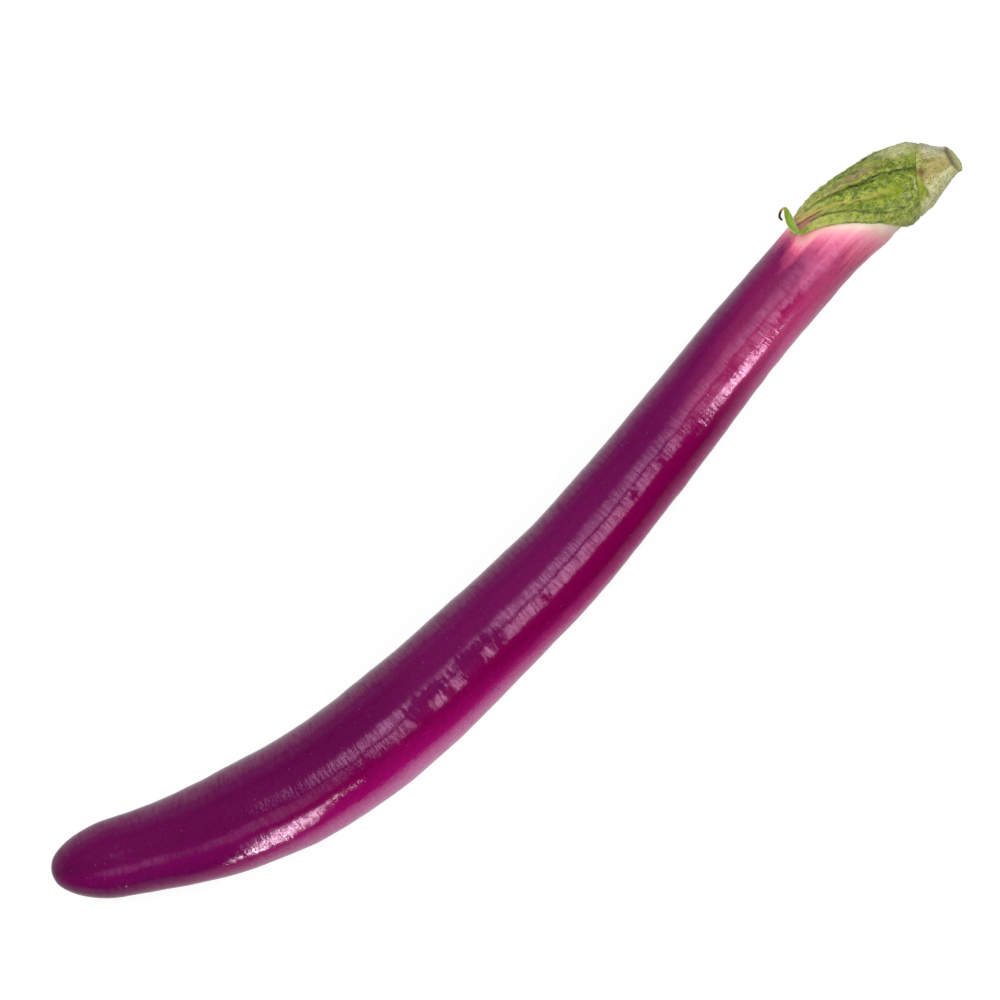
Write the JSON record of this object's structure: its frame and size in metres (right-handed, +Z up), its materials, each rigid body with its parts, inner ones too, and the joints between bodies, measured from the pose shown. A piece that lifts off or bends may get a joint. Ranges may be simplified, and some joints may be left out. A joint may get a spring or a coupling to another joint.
{
  "type": "eggplant",
  "caption": "Long, slender, gently curved eggplant lying on its side, with a lobed green calyx, one curled sepal tip and a cut stem.",
  "frame": {"origin": "middle of the footprint, on the surface that the eggplant lies on", "axes": "+X along the fruit from the blossom end to the cut stem, +Z up from the surface, +Y to the hollow side of the long bend"},
  "size_m": [0.3606, 0.066, 0.0354],
  "materials": {
    "skin": "thin glossy purple skin, paler pink at the calyx",
    "sepal": "fresh green sepals with pale hairs and dried brown patches",
    "stalk": "tan and olive woody stalk, cut across"
  },
  "bodies": {
    "root": {"fruit": "skin", "calyx": "sepal", "stem": "stalk"}
  },
  "joints": []
}
